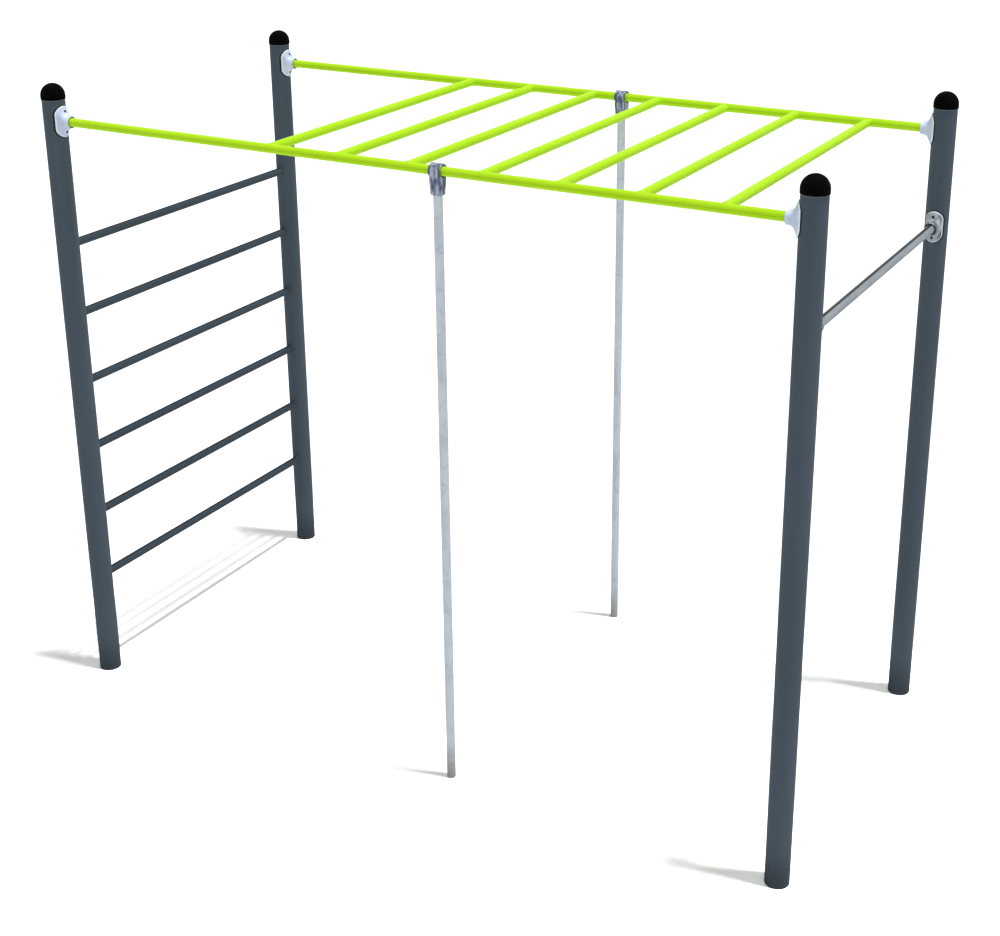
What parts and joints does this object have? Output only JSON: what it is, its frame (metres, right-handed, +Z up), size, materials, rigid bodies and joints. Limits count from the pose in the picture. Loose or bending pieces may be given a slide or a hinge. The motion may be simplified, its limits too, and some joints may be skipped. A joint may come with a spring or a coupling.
{
  "type": "outdoor fitness station",
  "caption": "Outdoor fitness station: round posts carry an overhead ladder, wall bars at one end and a pull-up bar at the other, with slim poles propping the ladder.",
  "frame": {"origin": "on the ground, in the middle of the four posts", "axes": "+X along the ladder from the wall bars to the pull-up bar, +Y from front to back, +Z up"},
  "size_m": [3.1486, 1.517, 2.535],
  "materials": {
    "anthracite_powder_coat": "satin",
    "black_plastic": "matte",
    "lime_powder_coat": "satin",
    "silver_tube": "satin",
    "galvanised_steel": "satin",
    "galvanised_casting": "satin",
    "pale_cast_metal": "satin",
    "galvanised_flange": "satin",
    "zinc_plated_steel": "satin",
    "blackened_steel": "satin"
  },
  "bodies": {
    "root": {"post_front_left": "anthracite_powder_coat", "post_back_left": "anthracite_powder_coat", "post_front_right": "anthracite_powder_coat", "post_back_right": "anthracite_powder_coat", "cap_front_left": "black_plastic", "cap_back_left": "black_plastic", "cap_front_right": "black_plastic", "cap_back_right": "black_plastic", "rail_front": "lime_powder_coat", "rail_back": "lime_powder_coat", "rung_1": "lime_powder_coat", "rung_2": "lime_powder_coat", "rung_3": "lime_powder_coat", "rung_4": "lime_powder_coat", "rung_5": "lime_powder_coat", "rung_6": "lime_powder_coat", "rung_7": "lime_powder_coat", "wall_bar_1": "anthracite_powder_coat", "wall_bar_2": "anthracite_powder_coat", "wall_bar_3": "anthracite_powder_coat", "wall_bar_4": "anthracite_powder_coat", "wall_bar_5": "anthracite_powder_coat", "wall_bar_6": "anthracite_powder_coat", "pull_up_bar": "silver_tube", "pole_front": "galvanised_steel", "pole_back": "galvanised_steel", "tee_front": "galvanised_casting", "tee_back": "galvanised_casting", "grub_screw_front": "zinc_plated_steel", "grub_screw_back": "zinc_plated_steel", "flange_rail_front_left": "pale_cast_metal", "flange_rail_back_left": "pale_cast_metal", "flange_rail_front_right": "pale_cast_metal", "flange_rail_back_right": "pale_cast_metal", "flange_pull_up_front": "galvanised_flange", "flange_pull_up_back": "galvanised_flange", "screw_rail_front_left_lower": "blackened_steel", "screw_rail_front_left_upper": "blackened_steel", "screw_rail_back_left_lower": "blackened_steel", "screw_rail_back_left_upper": "blackened_steel", "screw_rail_front_right_lower": "blackened_steel", "screw_rail_front_right_upper": "blackened_steel", "screw_rail_back_right_lower": "blackened_steel", "screw_rail_back_right_upper": "blackened_steel", "screw_pull_up_front_lower": "blackened_steel", "screw_pull_up_front_upper": "blackened_steel", "screw_pull_up_back_lower": "blackened_steel", "screw_pull_up_back_upper": "blackened_steel", "backing_plate_rail_front_left": "zinc_plated_steel", "backing_plate_rail_back_left": "zinc_plated_steel", "backing_plate_rail_front_right": "zinc_plated_steel", "backing_plate_rail_back_right": "zinc_plated_steel", "backing_plate_pull_up_front": "zinc_plated_steel", "backing_plate_pull_up_back": "zinc_plated_steel"}
  },
  "joints": []
}
